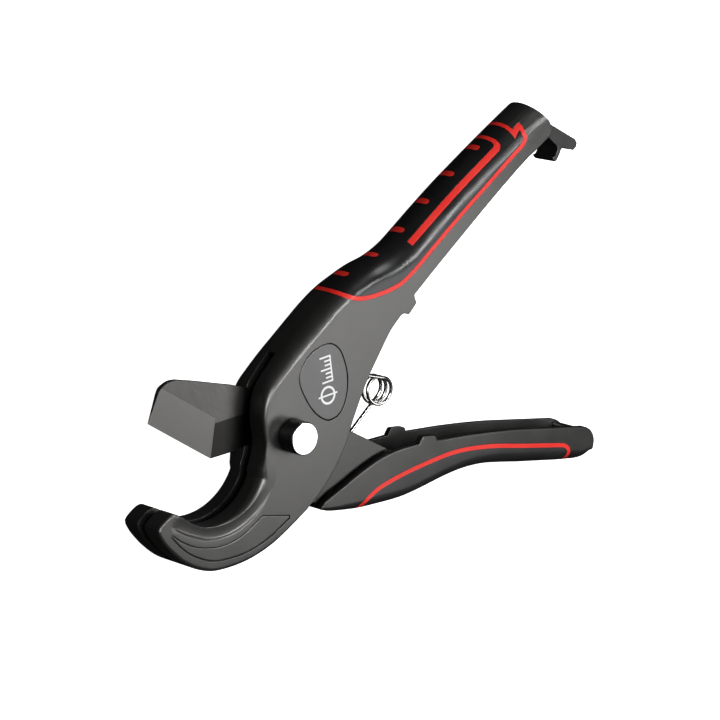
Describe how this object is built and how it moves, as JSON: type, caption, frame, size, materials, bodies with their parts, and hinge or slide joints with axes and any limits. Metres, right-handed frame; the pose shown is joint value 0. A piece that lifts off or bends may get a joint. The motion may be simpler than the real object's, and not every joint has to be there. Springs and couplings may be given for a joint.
{
  "type": "pipe cutter",
  "caption": "Hand pipe cutter with a slotted hook jaw, a swinging knife blade, a sprung lower handle and a swing catch that holds the handles shut",
  "frame": {"origin": "centre of the bottom face of the bounding box, on the far side that the tool lies on", "axes": "+X runs along the upper handle from the jaw to the catch, +Z is the pivot pin's axis towards the badge side"},
  "size_m": [0.2126, 0.146, 0.0256],
  "materials": {
    "painted_metal_dark": "satin dark grey enamel on die-cast alloy",
    "grip_black": "smooth black moulded grip with a slight sheen",
    "grip_grey": "satin dark grey moulded grip",
    "piping_red": "semi-gloss red moulded line",
    "badge_metal": "satin grey inset plate",
    "blade_steel": "ground tool steel with two bevels",
    "pin_steel": "turned steel",
    "washer_steel": "stamped steel",
    "pin_chrome": "polished chrome",
    "clip_steel": "dark spring steel",
    "spring_wire": "bright drawn wire",
    "catch_metal": "satin black pressed steel"
  },
  "bodies": {
    "frame": {"body": "painted_metal_dark", "upper_grip": "grip_black", "upper_piping_outer": "piping_red", "upper_piping_inner": "piping_red", "grip_dash_1": "piping_red", "grip_dash_2": "piping_red", "grip_dash_3": "piping_red", "grip_dash_4": "piping_red", "grip_dash_5": "piping_red", "grip_dash_6": "piping_red", "badge_plate": "badge_metal", "pivot_pin": "pin_chrome", "pivot_clip": "clip_steel", "spring_anchor_pin": "pin_steel", "catch_pin": "pin_steel"},
    "lever": {"lower_handle": "painted_metal_dark", "lower_grip": "grip_grey", "lower_piping": "piping_red", "blade": "blade_steel", "blade_rivet": "pin_steel", "blade_washer_far": "washer_steel", "blade_washer_near": "washer_steel", "latch_bar": "pin_steel"},
    "coil": {"spring_coil": "spring_wire"},
    "coil_leg": {"spring_leg": "spring_wire"},
    "catch": {"catch": "catch_metal"}
  },
  "joints": [
    {"name": "handle_close", "type": "hinge", "parent": "frame", "child": "lever", "pos_m": [-0.0481, 0.02906, 0.0093], "axis": [0, 0, 1], "range_deg": [0, 42], "stiffness_Nm_per_rad": 0.12, "springref_deg": -20.05},
    {"name": "coil_swing", "type": "hinge", "parent": "frame", "child": "coil", "pos_m": [-0.0251, 0.03306, 0.0148], "axis": [0, 0, 1], "range_deg": [0, 50.2]},
    {"name": "leg_wind", "type": "hinge", "parent": "coil", "child": "coil_leg", "pos_m": [-0.0097, 0.01066, 0.0086], "axis": [0, 0, 1], "range_deg": [-42, 0]},
    {"name": "catch_swing", "type": "hinge", "parent": "frame", "child": "catch", "pos_m": [0.0911, 0.03596, 0.0093], "axis": [0, 0, 1], "range_deg": [-40, 0]}
  ],
  "couplings": [
    {"joint": "coil_swing", "follows": "handle_close", "ratio": 1.175},
    {"joint": "leg_wind", "follows": "handle_close", "ratio": -0.98}
  ]
}
